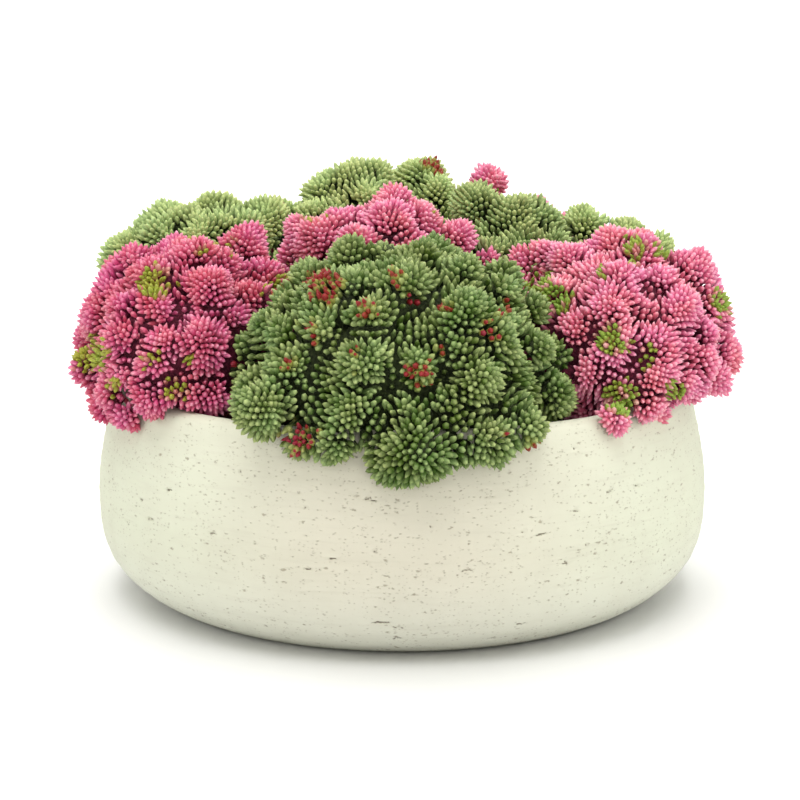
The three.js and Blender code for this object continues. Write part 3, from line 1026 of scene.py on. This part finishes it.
def evenOut(tips, head, planted):
    # Buds push one another apart, so that none crowd and no bare spots are left.
    reach = budPlan["evenReach"] * head["bud"]
    planted = planted[lengths(planted - head["heart"]) < max(head["reach"]) + 25]
    for step in range(budPlan["evenings"]):
        everyTip = np.concatenate((tips, planted))
        squares = (everyTip ** 2).sum(axis=1)
        away = squares[:len(tips), None] + squares[None, :] - 2 * tips @ everyTip.T
        away = np.sqrt(np.maximum(away, 1e-6))
        share = np.clip(1 - away / reach, 0, 1) / away
        pushes = tips * share.sum(axis=1)[:, None] - share @ everyTip
        pushes *= budPlan["evenStep"] * reach / np.maximum(lengths(pushes), 1)[:, None]
        tips, out, _ = ontoSkin(tips + pushes, head, steps=1)
    tips, out, _ = ontoSkin(tips, head, steps=2)
    return tips, out


def openTips(starts, head, strangers, near=None):
    # The starts that find the skin and are in the open there.
    tips, _, off = ontoSkin(starts, head, near)
    tips = tips[np.abs(off) < budPlan["found"]]
    return tips[inTheOpen(tips, head, strangers, budPlan["border"])]


def planHead(head, planted, chance):
    # Tips, axes and cluster of every bud: even rows first, then more where there is room.
    plan, balls = budPlan, head["balls"]
    heart, reach = head["heart"], head["reach"]
    tips = np.empty((0, 3))
    order = sorted(range(len(balls)), key=lambda number: -balls[number, 3])
    closest = plan["closest"] * head["bud"]
    others = [other for other in heads if other is not head]
    for pitch in (plan["pitch"] * head["bud"], plan["infill"]):
        for number in order:
            middle, size = balls[number, :3], balls[number, 3]
            starts = middle + size * spreadDirections(size, pitch) @ randomTurn(chance)
            near = balls[lengths(balls[:, :3] - middle) < size + 45]
            strangers = [other for other in others
                         if np.linalg.norm((middle - other["heart"]) / (other["reach"] + 30)) < 1]
            if pitch == plan["infill"]:
                starts = chance.permutation(starts)
            new = openTips(starts, head, strangers, near)
            before = np.concatenate((planted, tips))
            new = spaceOut(new, before[lengths(before - middle) < size + 14], closest)
            tips = np.concatenate((tips, new))
    ways = chance.permutation(spreadDirections(reach.mean(), plan["infill"]))
    starts = heart + reach * plan["floorShare"] * ways
    for start in range(0, len(starts), 200):
        new = openTips(starts[start:start + 200], head, others)
        if len(new):
            before = np.concatenate((planted, tips))
            middle = new.mean(axis=0)
            room = lengths(new - middle).max() + 5
            new = spaceOut(new, before[lengths(before - middle) < room], closest)
            tips = np.concatenate((tips, new))
    tips, out = evenOut(tips, head, planted)
    _, turned = skinOf(tips, head, plan["turnMerge"])
    away = unit((tips - heart) / reach)
    axes = turned + plan["outward"] * away - plan["waveTurn"] * slopes(tips) + (0, 0, plan["lift"])
    axes = unit(axes + plan["sway"] * chance.normal(size=tips.shape))
    tips = tips + out * (plan["rise"] * chance.uniform(-1, 1, len(tips)))[:, None]
    kept = inTheOpen(tips, head, others, plan["strange"]) & ~insideBowl(tips - 2.5 * axes)
    kept[kept] = showsOutside(tips[kept])
    tips, axes = tips[kept], axes[kept]
    gaps = np.sqrt(((tips[:, None, :] - balls[None, :, :3]) ** 2).sum(axis=2)) - balls[:, 3]
    return tips, axes, gaps.argmin(axis=1)


def copyModel(model, place, **values):
    copy = model.copy()
    copy.data = model.data.copy()
    copy.data.transform(place)
    setEven(copy.data, **values)
    bpy.context.collection.objects.link(copy)
    return copy


def plantBud(model, tip, axis, size, spin, **values):
    turn = Vector(axis).to_track_quat("Z", "Y").to_matrix().to_4x4() @ Matrix.Rotation(spin, 4, "Z")
    place = Matrix.Translation(Vector(tip) / 1000) @ turn @ Matrix.Diagonal((*size, 1))
    return copyModel(model, place, **values)


def plantCore(middle, size, tone):
    place = Matrix.Translation(Vector(middle) / 1000) @ Matrix.Scale(size / 1000, 4)
    return copyModel(coreModel, place, tone=tone)


def makeHeadCore(head):
    # What the clusters stand on: it stays above the soil and inside the rim. Its dark colour is painted
    # shade.
    reach = head["reach"] * budPlan["coreShare"]
    bpy.ops.mesh.primitive_ico_sphere_add(subdivisions=4, radius=1)
    core = bpy.context.object
    core.scale = Vector(reach) / 1000
    core.location = Vector(head["heart"]) / 1000
    settle(core, "headCore")
    startEditing(core)
    pickAll()
    bpy.ops.mesh.bisect(plane_co=(0, 0, budPlan["coreFloor"]), plane_no=(0, 0, 1), use_fill=True,
                        clear_inner=True)
    stopEditing()
    points = readPoints(core.data)
    out = np.hypot(points[:, 0], points[:, 1])
    low = (points[:, 2] < potShape["height"] + 0.001) & (out > budPlan["coreWidth"])
    points[low, :2] *= (budPlan["coreWidth"] / out[low])[:, None]
    setPoints(core.data, points)
    bpy.ops.object.shade_smooth()
    setEven(core.data, rise=0, tone=0, flush=0)
    return core


def makeHead(head, number, budMaterial, coreMaterial, planted):
    chance = np.random.default_rng(100 + number)
    parts = [makeHeadCore(head)]
    parts[0].data.materials.append(coreMaterial)
    tips, axes, owners = planHead(head, planted, chance)
    flush = flushOf(tips, head, chance)
    byCluster, byBud = budPlan["tones"]
    for owner, (middle, size, _) in enumerate(head["clusters"]):
        own = head["tone"] + byCluster * (chance.random() - 0.5)
        buds = []
        for index in np.nonzero(owners == owner)[0]:
            wide, long = [head["bud"] * (least + more * chance.random())
                          for least, more in (budPlan["width"], budPlan["length"])]
            model = budModels[chance.integers(len(budModels))]
            tone = min(max(own + byBud * (chance.random() - 0.5), 0), 1)
            spin = 6.28 * chance.random()
            buds.append(plantBud(model, tips[index], axes[index], (wide, wide, long), spin,
                                 tone=tone, flush=flush[index]))
        if buds:
            spray = join(buds)
            spray.data.materials.append(budMaterial)
            # Each cluster gets a dark core below its buds: painted shade.
            inner = size - head["inset"]
            core = plantCore(middle, max(inner - budPlan["coreDepth"], budPlan["leastCore"] * inner), own)
            core.data.materials.append(coreMaterial)
            parts += [spray, core]
    piece = join(parts)
    piece.name = "flowerHead_" + head["name"]
    piece.data.name = piece.name
    print(piece.name, len(tips), "buds")
    return piece, np.concatenate((planted, tips))


# The foot colours darken each bud towards its stalk: partly the bud's own deeper colour, partly painted
# shade deep in the cluster.
budFinish = {
    "pink": {
        "foot": colour(124, 34, 66), "dark": colour(203, 71, 112), "light": colour(245, 146, 175),
        "tip": colour(250, 192, 200), "ring": colour(178, 166, 84), "flush": colour(160, 166, 60),
        "otherFlush": colour(142, 166, 64),
        # The core colours are painted shade.
        "dot": 0.2, "core": colour(96, 28, 50), "lighterCoreShade": colour(134, 46, 74),
    },
    "green": {
        "foot": colour(60, 78, 32), "dark": colour(78, 104, 36), "light": colour(185, 203, 138),
        "tip": colour(192, 206, 128), "ring": colour(172, 172, 90), "flush": colour(142, 38, 32),
        "otherFlush": colour(142, 38, 32),
        # The core colours are painted shade.
        "dot": 1.0, "core": colour(46, 56, 26), "lighterCoreShade": colour(66, 78, 38),
    },
}


def makeBudGroup():
    tree = bpy.data.node_groups.new("budSkin", "ShaderNodeTree")
    addSockets(tree, "INPUT", "Float", ("Rise", "Tone", "Flush", "Dot"))
    addSockets(tree, "INPUT", "Color", ("Foot", "Dark", "Light", "Tip", "Ring", "Flush Colour"))
    addSockets(tree, "OUTPUT", "Color", ("Colour",))
    addSockets(tree, "OUTPUT", "Float", ("Roughness", "Height"))
    put = addNode(tree, "NodeGroupInput").outputs
    result = addNode(tree, "NodeGroupOutput").inputs
    plain = placeNode(tree)
    mottle = noise(tree, plain, 750, 3)
    body = blendColour(tree, put["Tone"], put["Dark"], put["Light"])
    # Towards its stalk a bud takes the foot colour: partly its own deeper colour, partly painted shade deep
    # in the cluster.
    body = blendColour(tree, remap(tree, put["Rise"], 0.24, 0.58), put["Foot"], body)
    tipShare = times(tree, remap(tree, put["Rise"], 0.8, 1.0), remap(tree, put["Tone"], 0.0, 1.0, 0.2, 0.8))
    body = blendColour(tree, tipShare, body, put["Tip"])
    ringShare = times(tree, remap(tree, put["Rise"], 0.55, 0.76), remap(tree, put["Flush"], 0.0, 0.6))
    body = blendColour(tree, ringShare, body, put["Ring"])
    # The more a bud is flushed, the lower down its tip's colour starts.
    start = maths(tree, "SUBTRACT", 1.0, times(tree, put["Flush"], 0.46))
    start = maths(tree, "ADD", start, times(tree, put["Dot"], 0.10))
    above = maths(tree, "SUBTRACT", put["Rise"], start)
    dotShare = times(tree, remap(tree, above, 0.0, 0.08), remap(tree, put["Flush"], 0.3, 0.4))
    body = blendColour(tree, dotShare, body, put["Flush Colour"])
    tint = addNode(tree, "ShaderNodeHueSaturation")
    feed(tree, tint, Color=body, Value=remap(tree, mottle, 0.3, 0.7, 0.88, 1.12),
         Hue=remap(tree, noise(tree, plain, 60, 3), 0.3, 0.7, 0.484, 0.514))
    wire(tree, tint.outputs["Color"], result["Colour"])
    wire(tree, remap(tree, mottle, 0.3, 0.7, 0.42, 0.58), result["Roughness"])
    wire(tree, mottle, result["Height"])
    return tree


def makeBudMaterial(name, group):
    finish = budFinish[name]
    tree, shader, material = newMaterial(name + "Buds")
    skin = addNode(tree, "ShaderNodeGroup", node_tree=group)
    for label in ("rise", "tone", "flush"):
        source = addNode(tree, "ShaderNodeAttribute", attribute_name=label)
        wire(tree, source.outputs["Fac"], skin.inputs[label.capitalize()])
    for label in ("foot", "dark", "light", "tip", "ring", "dot"):
        skin.inputs[label.capitalize()].default_value = finish[label]
    across = addNode(tree, "ShaderNodeSeparateXYZ")
    wire(tree, placeNode(tree), across.inputs[0])
    side = remap(tree, across.outputs["X"], 0.0, 0.05)
    wire(tree, blendColour(tree, side, finish["flush"], finish["otherFlush"]), skin.inputs["Flush Colour"])
    feed(tree, shader, Base_Color=skin.outputs["Colour"], Roughness=skin.outputs["Roughness"],
         Normal=bump(tree, 0.25, 0.0002, skin.outputs["Height"]), Specular_IOR_Level=0.35)
    return material


def makeMottled(name, shades, grain, span, roughness, relief, scale=(1, 1, 1)):
    # Two shades mixed by noise. Grain is the noise's scale and detail, span what of it is blended, and
    # relief the bump's strength and distance and its own grain.
    tree, shader, material = newMaterial(name)
    place = placeNode(tree, scale)
    base = blendColour(tree, remap(tree, noise(tree, place, *grain), *span), *shades)
    strength, distance, fine = relief
    feed(tree, shader, Base_Color=base, Roughness=roughness,
         Normal=bump(tree, strength, distance, noise(tree, place, *fine)))
    return material


budGroup = makeBudGroup()
budMaterials = {name: makeBudMaterial(name, budGroup) for name in budFinish}
# The cores' dark materials are painted shade.
coreMaterials = {
    name: makeMottled(name + "Depths", (finish["core"], finish["lighterCoreShade"]), (420, 3), (0.4, 0.65), 0.9,
                      (0.8, 0.001, (600, 3)))
    for name, finish in budFinish.items()}
planted = np.empty((0, 3))
for number, head in enumerate(heads):
    finish = head["finish"]
    piece, planted = makeHead(head, number, budMaterials[finish], coreMaterials[finish], planted)
    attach(piece, "root")
    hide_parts("head_" + head["name"])
for model in [*budModels, coreModel]:
    bpy.data.objects.remove(model)


# Stems

stemShape = {
    "foot": 0.0034, "top": 0.0026, "depth": 0.034, "lean": 0.55, "sides": 12,
    "joints": 7, "swell": ((0.38, 1.0), (0.5, 1.07), (0.62, 1.0)),  # along each part between joints
}


def makeStem(head):
    shape = stemShape
    top = Vector(head["heart"]) / 1000
    foot = Vector((top.x * shape["lean"], top.y * shape["lean"], soilShape["middle"] - shape["depth"]))
    length = (top - foot).length
    bpy.ops.mesh.primitive_circle_add(vertices=shape["sides"], radius=shape["foot"], fill_type="NGON")
    stem = bpy.context.object
    startEditing(stem)
    pickAll()
    rings = [(shape["foot"], 0.0)]
    for joint in range(shape["joints"]):
        for share, swell in shape["swell"]:
            along = (joint + share) / shape["joints"]
            rings.append((swell * (shape["foot"] + (shape["top"] - shape["foot"]) * along), length * along))
    raiseRings(rings + [(shape["top"], length)])
    finishShell()
    stem.rotation_euler = (top - foot).to_track_quat("Z", "Y").to_euler()
    stem.location = foot
    bpy.ops.object.shade_smooth_by_angle(angle=math.radians(50))
    return settle(stem, "flowerStem_" + head["name"])


stemMaterial = makeMottled("greenStem", (colour(74, 88, 46), colour(116, 132, 76)), (260, 3), (0.35, 0.65),
                           0.6, (0.3, 0.0003, (500, 2)), (1, 1, 0.2))
for head in heads:
    stem = makeStem(head)
    stem.data.materials.append(stemMaterial)
    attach(stem, "root")
    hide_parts("stem_" + head["name"])
print("stems:", len(heads))
